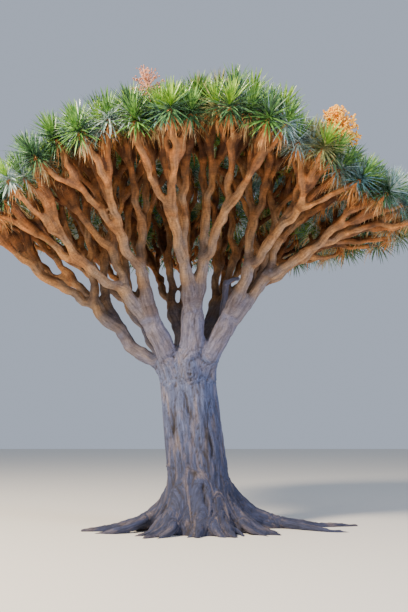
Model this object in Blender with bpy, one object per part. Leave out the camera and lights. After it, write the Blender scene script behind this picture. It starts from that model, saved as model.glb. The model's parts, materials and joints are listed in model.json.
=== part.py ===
"""Dragon blood tree: a stout grey trunk with surface roots, eight boughs that fork again and again,
and an umbrella crown of sword-leaf rosettes, built at its real size.

Metres, +Z up. The origin is the middle of the flat cut under the trunk, at ground level.
-Y is the side that faces the viewer, +X is to the right.
"""

import math

import bmesh
import bpy
import numpy as np
from mathutils import Matrix, Vector

SEED = 11
GAP = 0.0003
WELD = 0.00005

# Trunk: its waist, its swell under the boughs, its flare and its lean.
TRUNK_HEIGHT = 2.46
TRUNK_WAIST = 0.465
TRUNK_FLARE = 0.32
TRUNK_FLARE_HEIGHT = 0.36
TRUNK_SWELL = 0.045
TRUNK_LEAN = (-0.27, 0.0)
TRUNK_SIDES = 16
TRUNK_RINGS = 9
TRUNK_BELOW = 0.06
RING_CROWDING = 1.5
TRUNK_FOLDS = ((3, 0.035, 1.5), (5, 0.020, 0.0))

# Surface roots: plan angle in degrees, reach from the trunk's middle, and how stout each one is.
ROOTS = (
    (9, 2.60, 0.88),
    (-30, 1.35, 0.72),
    (-62, 1.05, 0.66),
    (-94, 0.98, 0.84),
    (-132, 1.35, 0.80),
    (-174, 1.95, 1.00),
    (141, 1.40, 0.85),
    (96, 1.15, 0.80),
    (50, 1.50, 0.85),
)
ROOT_SPRING = 0.18
ROOT_SPRING_HEIGHT = 0.84
ROOT_SPRING_RADIUS = 0.30
ROOT_SINK = 0.55
ROOT_THINNING = 2.5
ROOT_TIP = 0.045
ROOT_SWAY = 0.07
ROOT_WAVES = (4.5, 6.5)

# Boughs: plan angle in degrees, how far out from the trunk's top and how high each one first forks,
# its thickness as a radius, and how much the limbs that grow from it sag.
BOUGHS = (
    ("west", 178, 1.00, 2.98, 0.120, 0.65),
    ("southwest", -138, 0.72, 3.16, 0.185, 0.42),
    ("south", -80, 0.45, 3.42, 0.210, 0.28),
    ("southeast", -34, 0.78, 3.26, 0.180, 0.10),
    ("east", 16, 0.62, 3.26, 0.145, -0.05),
    ("northeast", 57, 0.60, 3.22, 0.145, 0.20),
    ("north", 102, 0.58, 3.06, 0.150, 0.28),
    ("northwest", 140, 0.84, 3.12, 0.150, 0.40),
)
BOUGH_FOOT = 1.22
BOUGH_FOOT_TILT = 0.35
BOUGH_SET_IN = 0.02
BOUGH_STRAIGHTNESS = 0.6

# Crown: a low dome of rosettes over an oval, highest a little towards the viewer, with its own swells
# and hollows (plan place, rise and spread).
ROSETTES = 144
CROWN_MIDDLE = (-0.18, 0.10)
CROWN_REACH = (3.84, 3.00)
APEX = (-0.42, -0.24)
CROWN_TOP = 6.53
CROWN_FALL = (0.084, 0.119)
SWELLS = ((0.60, -2.10, 0.38, 0.60), (2.50, -1.90, -0.38, 1.00), (-3.20, -1.20, -0.72, 0.90))
ROSETTE_JITTER = 0.06

# Each forking carries a limb this share of the way to its rosettes, and leaves it this thick (radius).
SHARES = {2: 0.31, 3: 0.33, 4: 0.37, 5: 0.42, 6: 0.50}
THICKNESS = {2: 0.108, 3: 0.080, 4: 0.060, 5: 0.048, 6: 0.046}
SHARE_VARIES = 0.08
TAPER = 0.10
FOOT_SWELL = 0.9
BEND = 0.05
CURVE_REACH = 0.85
FORK_SPREAD = 1.7
UPWARD_PULL = 0.25
SUNK = 0.25

# A rosette: its hub of leaf bases in rings (radii and rise), how far each ring of sword leaves leans
# from the rosette's axis, how many are in a ring, and their length.
LEAF_LENGTH = 0.50
ROSETTE = ((0.085, 0.125, 0.115, 0.070), 0.048, (104, 74, 42), 5, LEAF_LENGTH)
HUB_REACH = 0.125
SHORTEST_BLADE = 0.5
BLADE_VARIES = (0.90, 1.06)
BLADE_TILT_DEG = 9
BLADE_TURN = 0.12
LEAF_CLEARANCE = 0.004
LEAF_OVERLAP = 0.02
RIM_LEAN = 0.8
ROSETTE_CLEARANCE = 0.02
PUSHES = 60

# Fruiting panicles: the plan place of each, its rise over its rosette and the length of its sprays.
PANICLES = ((-0.70, -2.38, 0.51, 0.24), (2.10, -1.50, 0.52, 0.27))
FRUIT_SPRAYS = ((0.040, 0.075, 0.070, 0.045), 0.050, (100, 70, 40), 5)
STALK_RADIUS = 0.035

# Twigs: how much thicker a few-sided one is than its round self, and how far a rosette turns up on it.
TWIG_STOUTNESS = 1.15
UPTURN = 0.5
STEM_RINGS = (0.25, 0.6, 1.0)
STEP = 0.05

# How many rings a limb and a root have along them, and how these crowd towards the foot.
KNOT_CROWDING = 1.25
BOUGH_KNOTS = 7
LIMB_KNOTS = 5
ROOT_KNOTS = 6
ROOT_CROWDING = 1.3
SMOOTH_UNDER = math.radians(50)

UP = np.array((0.0, 0.0, 1.0))
REFERENCE = np.array((0.3, 1.0, 0.2))
GOLDEN_ANGLE = math.pi * (3 - math.sqrt(5))
TRUNK_TOP = np.array((*TRUNK_LEAN, TRUNK_HEIGHT))
TRUNK_TOP_RADIUS = TRUNK_WAIST + TRUNK_SWELL


def unit(vector):
    vector = np.asarray(vector, float)
    return vector / np.linalg.norm(vector)


def around(degrees):
    """The level unit vector at this plan angle."""
    return np.array((math.cos(math.radians(degrees)), math.sin(math.radians(degrees)), 0.0))


def sides_of(axis):
    """Two unit vectors square to the axis and to each other."""
    side = unit(np.cross(axis, REFERENCE))
    return side, np.cross(axis, side)


def dome_height(x, y):
    height = CROWN_TOP - CROWN_FALL[0] * (x - APEX[0]) ** 2 - CROWN_FALL[1] * (y - APEX[1]) ** 2
    for swell_x, swell_y, rise, spread in SWELLS:
        height = height + rise * np.exp(-((x - swell_x) ** 2 + (y - swell_y) ** 2) / (2 * spread**2))
    return height


def rosette_points():
    """The rosettes' middles, evenly spread over the crown like the seeds of a sunflower."""
    rng = np.random.default_rng(SEED)
    order = np.arange(ROSETTES)
    radius = np.sqrt((order + 0.5) / ROSETTES)
    angle = order * GOLDEN_ANGLE
    x = CROWN_MIDDLE[0] + CROWN_REACH[0] * radius * np.cos(angle)
    y = CROWN_MIDDLE[1] + CROWN_REACH[1] * radius * np.sin(angle)
    points = np.column_stack((x, y, dome_height(x, y)))
    return points + rng.uniform(-ROSETTE_JITTER, ROSETTE_JITTER, points.shape)


def rosette_axis(point):
    """Which way a rosette points: straight up in the middle, leaning out at the rim."""
    outward = np.array((*(point[:2] - CROWN_MIDDLE) / CROWN_REACH, 0.0))
    return unit(UP + RIM_LEAN * np.linalg.norm(outward) * outward)


class Limb:
    """One tapering limb between two forks, and the convex space that it and all that it carries keep to."""

    def __init__(self, name, level, members, start, heading, end, aim, thickness, foot, space):
        self.name = name
        self.level = level
        self.members = members
        self.start = start
        self.heading = heading
        self.end = end
        self.aim = aim
        self.thickness = thickness
        self.foot = foot
        self.space = space
        self.sag = 0.0
        bends = np.random.default_rng([SEED, *name.encode()])
        across = unit(np.cross(end - start, bends.normal(size=3)))
        self.bend = across * BEND * bends.uniform(-1, 1) * np.linalg.norm(end - start)

    def at(self, share):
        """The middle line: leaves along heading, arrives along aim, with a slight bend between."""
        t = np.asarray(share, float)[:, None]
        reach = CURVE_REACH * np.linalg.norm(self.end - self.start)
        line = (2 * t**3 - 3 * t**2 + 1) * self.start + (3 * t**2 - 2 * t**3) * self.end
        line += (t**3 - 2 * t**2 + t) * reach * self.heading + (t**3 - t**2) * reach * self.aim
        return line + np.sin(2 * math.pi * t) * self.bend

    def radius(self, share):
        """Thick at the foot, where it leaves the fork, then a slow taper."""
        t = np.asarray(share, float)
        length = np.linalg.norm(self.end - self.start)
        body = self.thickness * (1 - TAPER * t)
        return body + (self.foot - self.thickness) * np.exp(-t * length / (FOOT_SWELL * self.foot))

    def tip_radius(self):
        return float(self.radius([1.0])[0])


def inner_side(place, normal, point):
    """The half space bounded by this plane that holds the point."""
    return place, normal if (point - place) @ normal > 0 else -normal


def main_boughs(rosettes):
    """The boughs round the trunk's top, each with the rosettes of its sector of the crown."""
    turns = np.array([bough[1] for bough in BOUGHS]) % 360
    plan = rosettes[:, :2] - TRUNK_TOP[:2]
    angle = np.degrees(np.arctan2(plan[:, 1], plan[:, 0])) % 360
    boughs = []
    for name, degrees, reach, height, thickness, sag in BOUGHS:
        ahead = (turns - degrees) % 360
        bounds = degrees + min(ahead[ahead > 0]) / 2, degrees - min(360 - ahead[ahead > 0]) / 2
        members = np.flatnonzero((angle - bounds[1]) % 360 < bounds[0] - bounds[1])
        out = around(degrees)
        foot = BOUGH_FOOT * thickness
        start = TRUNK_TOP + (TRUNK_TOP_RADIUS - foot - BOUGH_SET_IN) * out
        end = np.array((*(TRUNK_TOP + reach * out)[:2], height))
        goal = rosettes[members].mean(axis=0)
        heading = unit(UP + BOUGH_FOOT_TILT * out)
        aim = unit(BOUGH_STRAIGHTNESS * unit(end - start) + (1 - BOUGH_STRAIGHTNESS) * unit(goal - end))
        walls = [inner_side(TRUNK_TOP, around(bound + 90), start) for bound in bounds]
        space = [(TRUNK_TOP + GAP / 2 * UP, UP), *walls]
        bough = Limb("bough_" + name, 1, members, start, heading, end, aim, thickness, foot, space)
        bough.sag = sag
        boughs.append(bough)
    return boughs


def fork(parent, rosettes):
    """The two limbs that grow on from the parent's end. A plane through that end divides its rosettes:
    a bough's side by side, and any other limb's across their longer way in plan."""
    points = rosettes[parent.members]
    if parent.level == 1:
        across = unit(np.cross(UP, parent.end - TRUNK_TOP))
    else:
        across = np.array((*np.linalg.svd(points[:, :2] - points[:, :2].mean(axis=0))[2][0], 0.0))
    across = across * (1 if across @ points.mean(axis=0) > 0 else -1)
    angle = np.arctan2((points - parent.end) @ across, (points - parent.end) @ UP)
    parts = np.array_split(np.argsort(angle), 2)
    tilt = (angle[parts[0][-1]] + angle[parts[1][0]]) / 2
    divide = math.cos(tilt) * across - math.sin(tilt) * UP
    tip_cut = (parent.end + GAP / 2 * parent.aim, parent.aim)
    level = parent.level + 1
    children = []
    for number, part in enumerate(parts):
        name = f"{parent.name.replace('bough', 'limb')}_{number + 1}"
        rng = np.random.default_rng([SEED, *name.encode()])
        goal = points[part].mean(axis=0)
        way = goal - parent.end
        share = SHARES[level] * (1 + rng.uniform(-SHARE_VARIES, SHARE_VARIES))
        end = parent.end + share * way - UP * parent.sag * share * (1 - share) * math.hypot(way[0], way[1])
        aim = unit(unit(goal - end) + UPWARD_PULL * UP)
        space = [tip_cut, *parent.space[1:], (parent.end, divide if number else -divide)]
        members = parent.members[part]
        heading = unit(parent.aim + FORK_SPREAD * (unit(way) - parent.aim))
        child = Limb(name, level, members, parent.end, heading, end, aim, THICKNESS[level],
                     parent.tip_radius(), space)
        child.sag = parent.sag
        children.append(child)
    return children


def material(name, colour, roughness):
    made = bpy.data.materials.new(name)
    made.use_nodes = True
    shader = made.node_tree.nodes["Principled BSDF"]
    shader.inputs["Base Color"].default_value = (*colour, 1)
    shader.inputs["Roughness"].default_value = roughness
    shader.inputs["Metallic"].default_value = 0
    return made


def mesh_object(name, mesh, collection):
    made = bpy.data.objects.new(name, mesh)
    collection.objects.link(made)
    return made


def solid_from(shape, name, collection):
    """The curve as a closed mesh object, with the corners of its caps welded. The curve is removed."""
    bpy.context.view_layer.update()
    graph = bpy.context.evaluated_depsgraph_get()
    mesh = bpy.data.meshes.new_from_object(shape.evaluated_get(graph))
    bm = bmesh.new()
    bm.from_mesh(mesh)
    bmesh.ops.remove_doubles(bm, verts=bm.verts, dist=WELD)
    bmesh.ops.recalc_face_normals(bm, faces=bm.faces)
    bm.to_mesh(mesh)
    bm.free()
    matrix = shape.matrix_world.copy()
    bpy.data.objects.remove(shape)
    made = mesh_object(name, mesh, collection)
    made.matrix_world = matrix
    return made


def tube(name, points, radii, bevel_resolution, collection):
    """A round tapering tube along points, as a closed mesh."""
    curve = bpy.data.curves.new(name + "_line", "CURVE")
    curve.dimensions = "3D"
    curve.bevel_depth = 1.0
    curve.bevel_resolution = bevel_resolution
    curve.use_fill_caps = True
    spline = curve.splines.new("POLY")
    spline.points.add(len(points) - 1)
    for knot, point, radius in zip(spline.points, points, radii):
        knot.co = (*point, 1)
        knot.radius = radius
    line = mesh_object(name + "_line", curve, collection)
    return solid_from(line, name, collection)


def cut_to_space(obj, space, gap=GAP):
    """Trims a closed mesh to a convex space and caps every cut, half the gap inside each wall."""
    bm = bmesh.new()
    bm.from_mesh(obj.data)
    for place, normal in space:
        bmesh.ops.bisect_plane(
            bm,
            geom=[*bm.verts, *bm.edges, *bm.faces],
            dist=1e-6,
            plane_co=Vector(place + normal * gap / 2),
            plane_no=Vector(normal),
            clear_inner=True,
        )
        open_edges = [edge for edge in bm.edges if edge.is_boundary]
        if open_edges:
            bmesh.ops.holes_fill(bm, edges=open_edges, sides=0)
    bmesh.ops.recalc_face_normals(bm, faces=bm.faces)
    bm.to_mesh(obj.data)
    bm.free()


def shade_round(obj):
    """Smooth shading over the round sides, with the flat cuts left sharp."""
    obj.data.shade_smooth()
    obj.data.set_sharp_from_angle(angle=SMOOTH_UNDER)


def limb_solid(limb, knots, bevel_resolution, collection):
    """The limb as a tube from a little inside its fork to a little past its tip, trimmed flat at both."""
    share = np.linspace(0, 1, knots) ** KNOT_CROWDING
    points, radii = limb.at(share), limb.radius(share)
    before = limb.start - limb.heading * SUNK * limb.foot
    beyond = limb.end + limb.aim * 2 * SUNK * limb.tip_radius()
    points = np.vstack((before, points, beyond))
    radii = np.concatenate((radii[:1], radii, radii[-1:]))
    made = tube(limb.name, points, radii, bevel_resolution, collection)
    cut_to_space(made, [*limb.space, (limb.end + limb.aim * GAP / 2, -limb.aim)])
    shade_round(made)
    return made


def room(point, direction, space):
    """How far one can go from the point in this direction and stay in the space."""
    reach = math.inf
    for place, normal in space:
        closing = -direction @ normal
        if closing > 0:
            reach = min(reach, ((point - place) @ normal - LEAF_CLEARANCE) / closing)
    return reach


def star(name, middle, axis, shape, space, rng, collection):
    """A star of pointed blades on a hub. A blade that would leave the space is shortened or left out."""
    hub_radii, hub_rise, polar_deg, blades_round, length = shape
    turn = rng.uniform(0, 2 * math.pi)
    side, other = sides_of(axis)
    step = 2 * math.pi / blades_round
    bm = bmesh.new()

    def level(spin):
        return math.cos(spin + turn) * side + math.sin(spin + turn) * other

    def blade(corners, polar, spin):
        way = math.sin(polar) * level(spin) + math.cos(polar) * axis
        reach = min(length * rng.uniform(*BLADE_VARIES), room(middle, way, space))
        if reach > SHORTEST_BLADE * length:
            tip = bm.verts.new(middle + reach * way)
            for a, b in zip(corners, corners[1:] + corners[:1]):
                bm.faces.new((a, b, tip))
        else:
            bm.faces.new(corners)

    rings = []
    for j, radius in enumerate(hub_radii):
        centre = middle + hub_rise * (j - 1) * axis
        spins = [step * (k + j / 2) for k in range(blades_round)]
        rings.append([bm.verts.new(centre + radius * level(spin)) for spin in spins])
    for j, polar in enumerate(polar_deg):
        for k in range(blades_round):
            m = (k + 1) % blades_round
            corners = [rings[j][k], rings[j][m], rings[j + 1][m], rings[j + 1][k]]
            tilt = math.radians(polar + rng.uniform(-BLADE_TILT_DEG, BLADE_TILT_DEG))
            blade(corners, tilt, step * (k + j / 2 + 0.75) + rng.uniform(-BLADE_TURN, BLADE_TURN))
    blade(rings[-1], 0.0, 0.0)
    bm.faces.new(rings[0][::-1])
    bmesh.ops.recalc_face_normals(bm, faces=bm.faces)
    mesh = bpy.data.meshes.new(name)
    bm.to_mesh(mesh)
    bm.free()
    return mesh_object(name, mesh, collection)


def panicle(i, tip, axis, rise, length, space, rng, scratch):
    """A fruiting panicle over a rosette: its stalk and its sprays of fruit."""
    stalk = Vector(axis * rise)
    upright = stalk.to_track_quat("Z", "Y").to_matrix()
    bm = bmesh.new()
    bmesh.ops.create_cone(
        bm,
        cap_ends=True,
        segments=3,
        radius1=STALK_RADIUS,
        radius2=STALK_RADIUS,
        depth=rise,
        matrix=Matrix.Translation(Vector(tip) + stalk / 2) @ upright.to_4x4(),
    )
    mesh = bpy.data.meshes.new(f"stalk_{i}")
    bm.to_mesh(mesh)
    bm.free()
    mesh_object(f"stalk_{i}", mesh, scratch)
    star(f"fruit_{i}", tip + rise * axis, axis, (*FRUIT_SPRAYS, length), space, rng, scratch)


def next_ring(bm, ring, centre, axis, radius):
    """Lofts from the ring of corners to a regular one round the centre. Gives the new ring."""
    corners = np.array([corner.co for corner in ring])
    side, other = sides_of(axis)
    spokes = corners - corners.mean(axis=0)
    even = 2 * math.pi * np.arange(len(ring)) / len(ring)
    turned = np.exp(1j * (np.arctan2(spokes @ other, spokes @ side) - even)).sum()
    made = []
    for spin in even + np.angle(turned):
        made.append(bm.verts.new(centre + radius * (math.cos(spin) * side + math.sin(spin) * other)))
    for i in range(len(ring)):
        j = (i + 1) % len(ring)
        bm.faces.new((ring[i], ring[j], made[j], made[i]))
    return made


def split_ring(ring, counts, way):
    """Splits a ring of corners along a diagonal into two, each with two corners more than its count.
    The diagonal is the one that parts them best along the way from the second to the first."""
    best = None
    for first in range(len(ring)):
        turned = ring[first:] + ring[:first]
        parts = turned[:counts[0] + 2], turned[counts[0] + 1:] + turned[:1]
        middles = [np.mean([corner.co for corner in part], axis=0) for part in parts]
        parting = (middles[0] - middles[1]) @ way
        if best is None or parting > best[0]:
            best = (parting, parts)
    return best[1]


def grow_twigs(bm, ring, carrier, rosettes, mass, bearers):
    """Twigs that fork from the carrier's end, down to one for each rosette. Every twig has two sides
    more than the rosettes that it bears. Bearers gets each rosette's place and which way it points."""
    shoots = fork(carrier, rosettes)
    rings = split_ring(ring, [len(shoot.members) for shoot in shoots], shoots[0].end - shoots[1].end)
    for shoot, foot in zip(shoots, rings):
        if len(shoot.members) == 1:
            i = shoot.members[0]
            tip = kept_in(rosettes[i], mass.space, HUB_REACH + ROSETTE_CLEARANCE)
            way = unit(tip - carrier.end)
            bm.faces.new(next_ring(bm, foot, tip, way, TWIG_STOUTNESS * shoot.tip_radius()))
            bearers.append((i, tip, unit(way + UPTURN * rosette_axis(tip))))
        else:
            end = next_ring(bm, foot, shoot.end, shoot.aim, TWIG_STOUTNESS * shoot.tip_radius())
            grow_twigs(bm, end, shoot, rosettes, mass, bearers)


def kept_in(point, space, margin):
    """The point, moved as little as it takes to lie this far inside every wall of the space."""
    for _ in range(PUSHES):
        for place, normal in space:
            point = point + max(margin - (point - place) @ normal, 0) * normal
    return point


def own_space(i, mass, rosettes):
    """The mass's space, narrowed to a little beyond half way to each of its other rosettes."""
    walls = []
    for other in mass.members[mass.members != i]:
        way = unit(rosettes[i] - rosettes[other])
        walls.append(((rosettes[i] + rosettes[other]) / 2 - LEAF_OVERLAP * way, way))
    return mass.space + walls


def foliage_solid(stem, rosettes, fruiting, collection, scratch):
    """A mass of foliage: a stem that forks down to twigs with a rosette fused on each, all in its own
    space."""
    sides = len(stem.members) + 2
    side, other = sides_of(stem.heading)
    foot = stem.start - stem.heading * SUNK * stem.foot
    bm = bmesh.new()
    ring = []
    for spin in 2 * math.pi * np.arange(sides) / sides:
        ring.append(bm.verts.new(foot + stem.foot * (math.cos(spin) * side + math.sin(spin) * other)))
    bm.faces.new(ring)
    for share in STEM_RINGS:
        ahead = unit(np.diff(stem.at([share - STEP, min(share + STEP, 1)]), axis=0)[0])
        ring = next_ring(bm, ring, stem.at([share])[0], ahead, float(stem.radius([share])[0]))
    bearers = []
    grow_twigs(bm, ring, stem, rosettes, stem, bearers)
    bmesh.ops.triangulate(bm, faces=bm.faces)
    bmesh.ops.recalc_face_normals(bm, faces=bm.faces)
    mesh = bpy.data.meshes.new(stem.name)
    bm.to_mesh(mesh)
    bm.free()
    base = mesh_object(stem.name, mesh, collection)
    cut_to_space(base, stem.space)
    rng = np.random.default_rng([SEED, *stem.name.encode()])
    for i, tip, axis in bearers:
        star(f"rosette_{i}", tip, axis, ROSETTE, own_space(i, stem, rosettes), rng, scratch)
        if i in fruiting:
            panicle(i, tip, UP, *fruiting[i], stem.space, rng, scratch)
    join_collection(base, scratch)
    return base


def join_collection(base, scratch):
    """Fuses every object of the scratch collection into base, and removes them."""
    join = base.modifiers.new("join", "BOOLEAN")
    join.operation = "UNION"
    join.operand_type = "COLLECTION"
    join.collection = scratch
    join.solver = "EXACT"
    bpy.context.view_layer.update()
    graph = bpy.context.evaluated_depsgraph_get()
    mesh = bpy.data.meshes.new_from_object(base.evaluated_get(graph))
    base.modifiers.clear()
    base.data = mesh
    for piece in list(scratch.objects):
        bpy.data.objects.remove(piece)


def trunk_radius(height):
    flare = TRUNK_FLARE * math.exp(-height / TRUNK_FLARE_HEIGHT)
    return TRUNK_WAIST + flare + TRUNK_SWELL * (height / TRUNK_HEIGHT) ** 4


def trunk_middle(height):
    """The middle of the leaning trunk at this height."""
    return height / TRUNK_HEIGHT * TRUNK_TOP


def trunk_solid(collection, scratch):
    """The trunk as a loft of fluted sections, its surface roots fused on, cut flat at the ground."""
    bm = bmesh.new()
    rings = []
    for i in range(TRUNK_RINGS):
        height = TRUNK_HEIGHT * (i / (TRUNK_RINGS - 1)) ** RING_CROWDING if i else -TRUNK_BELOW
        centre, radius = trunk_middle(height), trunk_radius(max(height, 0))
        ring = []
        for k in range(TRUNK_SIDES):
            turn = 2 * math.pi * k / TRUNK_SIDES
            fold = sum(depth * math.cos(n * turn + twist * height) for n, depth, twist in TRUNK_FOLDS)
            spoke = np.array((math.cos(turn), math.sin(turn), 0))
            ring.append(bm.verts.new(centre + radius * (1 + fold) * spoke))
        rings.append(ring)
    for low, high in zip(rings, rings[1:]):
        for k in range(TRUNK_SIDES):
            j = (k + 1) % TRUNK_SIDES
            bm.faces.new((low[k], low[j], high[j], high[k]))
    bm.faces.new(rings[0][::-1])
    bm.faces.new(rings[-1])
    mesh = bpy.data.meshes.new("trunk")
    bm.to_mesh(mesh)
    bm.free()
    trunk = mesh_object("trunk", mesh, collection)
    for i, root in enumerate(ROOTS):
        tube(f"root_{i}", *root_line(i, *root), 1, scratch)
    join_collection(trunk, scratch)
    cut_to_space(trunk, [(np.zeros(3), UP)], gap=0)
    shade_round(trunk)
    return trunk


def root_line(i, degrees, reach, stoutness):
    """Middle line and radii of a surface root: a ridge that springs from the trunk and sinks as it runs
    out."""
    rng = np.random.default_rng([SEED, 100 + i])
    out, side = around(degrees), around(degrees + 90)
    t = np.linspace(0, 1, ROOT_KNOTS) ** ROOT_CROWDING
    run = (reach - ROOT_SPRING) * t
    height = ROOT_SPRING_HEIGHT * np.exp(-run / ROOT_SINK) * (1 - t)
    sway = ROOT_SWAY * reach * rng.uniform(-1, 1) * np.sin(rng.uniform(*ROOT_WAVES) * t)
    points = (ROOT_SPRING + run)[:, None] * out + sway[:, None] * side
    points += height[:, None] * trunk_middle(1.0)
    swell = (ROOT_SPRING_RADIUS * stoutness - ROOT_TIP) * np.exp(-run / ROOT_THINNING) * (1 - t)
    return points, ROOT_TIP + swell


def main():
    for obj in list(bpy.data.objects):
        bpy.data.objects.remove(obj)
    scene = bpy.context.scene
    tree = bpy.data.collections.new("dragon_blood_tree")
    scratch = bpy.data.collections.new("scratch")
    scene.collection.children.link(tree)
    scene.collection.children.link(scratch)
    trunk_bark = material("trunk_bark", (0.30, 0.27, 0.26), 0.9)
    limb_bark = material("limb_bark", (0.42, 0.26, 0.17), 0.85)
    sword_leaves = material("sword_leaves", (0.12, 0.22, 0.10), 0.6)

    rosettes = rosette_points()
    fruiting = {}
    for x, y, rise, length in PANICLES:
        fruiting[int(np.argmin(np.hypot(rosettes[:, 0] - x, rosettes[:, 1] - y)))] = (rise, length)

    trunk_solid(tree, scratch).data.materials.append(trunk_bark)
    for bough in main_boughs(rosettes):
        limb_solid(bough, BOUGH_KNOTS, 2, tree).data.materials.append(limb_bark)
        for limb in fork(bough, rosettes):
            limb_solid(limb, LIMB_KNOTS, 1, tree).data.materials.append(limb_bark)
            for stem in fork(limb, rosettes):
                stem.name = stem.name.replace("limb", "foliage")
                mass = foliage_solid(stem, rosettes, fruiting, tree, scratch)
                mass.data.materials.append(sword_leaves)
    bpy.data.collections.remove(scratch)


main()
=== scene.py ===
"""Dragon blood tree: its bark, twigs, sword leaves and fruit, grown on the skeleton of its solids.

Metres, +Z up, origin at the middle of the trunk's flat cut. -Y is the side that faces the viewer.
"""
import json
import math

import bmesh
import bpy
import numpy as np
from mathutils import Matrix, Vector, bvhtree, kdtree, noise

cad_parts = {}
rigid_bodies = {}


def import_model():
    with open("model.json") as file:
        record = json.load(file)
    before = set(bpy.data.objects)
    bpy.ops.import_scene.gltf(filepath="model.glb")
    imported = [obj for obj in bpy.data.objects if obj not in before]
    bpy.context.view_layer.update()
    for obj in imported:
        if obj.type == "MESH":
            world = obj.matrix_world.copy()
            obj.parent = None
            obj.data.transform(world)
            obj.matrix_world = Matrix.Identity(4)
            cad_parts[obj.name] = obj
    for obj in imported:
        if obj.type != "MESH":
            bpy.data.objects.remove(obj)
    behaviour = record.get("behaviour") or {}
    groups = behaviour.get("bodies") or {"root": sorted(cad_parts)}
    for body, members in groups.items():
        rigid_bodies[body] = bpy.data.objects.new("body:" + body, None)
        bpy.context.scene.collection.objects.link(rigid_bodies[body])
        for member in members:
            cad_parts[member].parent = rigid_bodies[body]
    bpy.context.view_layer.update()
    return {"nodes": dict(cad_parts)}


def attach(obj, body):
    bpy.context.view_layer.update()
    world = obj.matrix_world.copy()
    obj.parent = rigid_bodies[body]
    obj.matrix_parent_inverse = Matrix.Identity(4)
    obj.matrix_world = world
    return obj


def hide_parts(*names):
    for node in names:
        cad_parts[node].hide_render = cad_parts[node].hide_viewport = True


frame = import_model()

SEED = 11
GAP = 0.0003

# Trunk: its waist, its swell under the boughs, its flare and its lean.
TRUNK_HEIGHT = 2.46
TRUNK_WAIST = 0.465
TRUNK_FLARE = 0.32
TRUNK_FLARE_HEIGHT = 0.36
TRUNK_SWELL = 0.045
TRUNK_LEAN = (-0.27, 0.0)
TRUNK_FOLDS = ((3, 0.035, 1.5), (5, 0.020, 0.0))
TRUNK_SIDES = 96
TRUNK_RINGS = 60

# Surface roots: plan angle in degrees, reach from the trunk's middle, and how stout each one is.
ROOTS = (
    (9, 2.60, 0.88),
    (-30, 1.35, 0.72),
    (-62, 1.05, 0.66),
    (-94, 0.98, 0.84),
    (-132, 1.35, 0.80),
    (-174, 1.95, 1.00),
    (141, 1.40, 0.85),
    (96, 1.15, 0.80),
    (50, 1.50, 0.85),
)
ROOT_SPRING = 0.18
ROOT_SPRING_HEIGHT = 0.84
ROOT_SPRING_RADIUS = 0.30
ROOT_SINK = 0.55
ROOT_THINNING = 2.5
ROOT_TIP = 0.045
ROOT_SWAY = 0.07
ROOT_WAVES = (4.5, 6.5)
ROOT_KNOTS = 40

# Boughs: plan angle in degrees, how far out from the trunk's top and how high each one first forks,
# its thickness as a radius, and how much the limbs that grow from it sag.
BOUGHS = (
    ("west", 178, 1.00, 2.98, 0.120, 0.65),
    ("southwest", -138, 0.72, 3.16, 0.185, 0.42),
    ("south", -80, 0.45, 3.42, 0.210, 0.28),
    ("southeast", -34, 0.78, 3.26, 0.180, 0.10),
    ("east", 16, 0.62, 3.26, 0.145, -0.05),
    ("northeast", 57, 0.60, 3.22, 0.145, 0.20),
    ("north", 102, 0.58, 3.06, 0.150, 0.28),
    ("northwest", 140, 0.84, 3.12, 0.150, 0.40),
)
BOUGH_FOOT = 1.22
BOUGH_FOOT_TILT = 0.35
BOUGH_SET_IN = 0.02
BOUGH_STRAIGHTNESS = 0.6

# Crown: a low dome over an oval, highest a little towards the viewer, with its own swells and hollows.
ROSETTES = 144
CROWN_MIDDLE = (-0.18, 0.10)
CROWN_REACH = (3.84, 3.00)
APEX = (-0.42, -0.24)
CROWN_TOP = 6.53
CROWN_FALL = (0.084, 0.119)
SWELLS = ((0.60, -2.10, 0.38, 0.60), (2.50, -1.90, -0.38, 1.00), (-3.20, -1.20, -0.72, 0.90))
ROSETTE_JITTER = 0.06

# Each forking carries a limb this share of the way to its rosettes, and leaves it this thick (radius).
SHARES = {2: 0.31, 3: 0.33, 4: 0.37, 5: 0.42, 6: 0.50}
THICKNESS = {2: 0.108, 3: 0.080, 4: 0.060, 5: 0.048, 6: 0.046}
SHARE_VARIES = 0.08
TAPER = 0.10
FOOT_SWELL = 0.9
BEND = 0.05
CURVE_REACH = 0.85
FORK_SPREAD = 1.7
UPWARD_PULL = 0.25
RIM_LEAN = 0.8
PUSHES = 60
HEART_CLEARANCE = 0.145

# Finer twigs: how many rosettes the crown really has, and where each last shoot forks again.
FINE_ROSETTES = 460
KNEE = 0.24
KNEE_SAG = 0.05
TWIG_LEVEL = 7
TWIG_THICKNESS = 0.033
SHOOT_THICKNESS = 0.044

# How far each bough's foot runs down the trunk, how deep it sinks, and how the trunk narrows inside it.
BOUGH_ROOT = 1.15
BOUGH_SINK = 0.10
SHOULDER = 0.075

# Bark mesh: its voxel, the fewest points or faces that a loose part keeps, how closely limbs are sampled,
# how it is softened, and the swellings and crooks that a dragon tree's limbs show.
VOXEL = 0.028
SCRAP = 100
SAMPLE_EVERY = 0.03
SOFTENING_LOSS = 0.75
SOFTENINGS = 24
SOFTENING_STEP = 0.010
SWELL_EVERY = 0.30
SWELL_DEPTH = 0.060
KNUCKLE = 0.18
CROOK = {1: 0.0, 2: 0.010, 3: 0.022, 4: 0.030, 5: 0.028, 6: 0.022, 7: 0.020}
CROOK_EVERY = 0.72

# How far the air round a limb is looked at, and in how many level or falling directions.
AIR_REACH = 1.5
AIR_WAYS = 24

# The swirled knot in the trunk's front: its plan X and height, its size, and the gap between its rings.
KNOT = (-0.23, 2.44)
KNOT_SIZE = 0.15
KNOT_RING = 0.050

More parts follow.
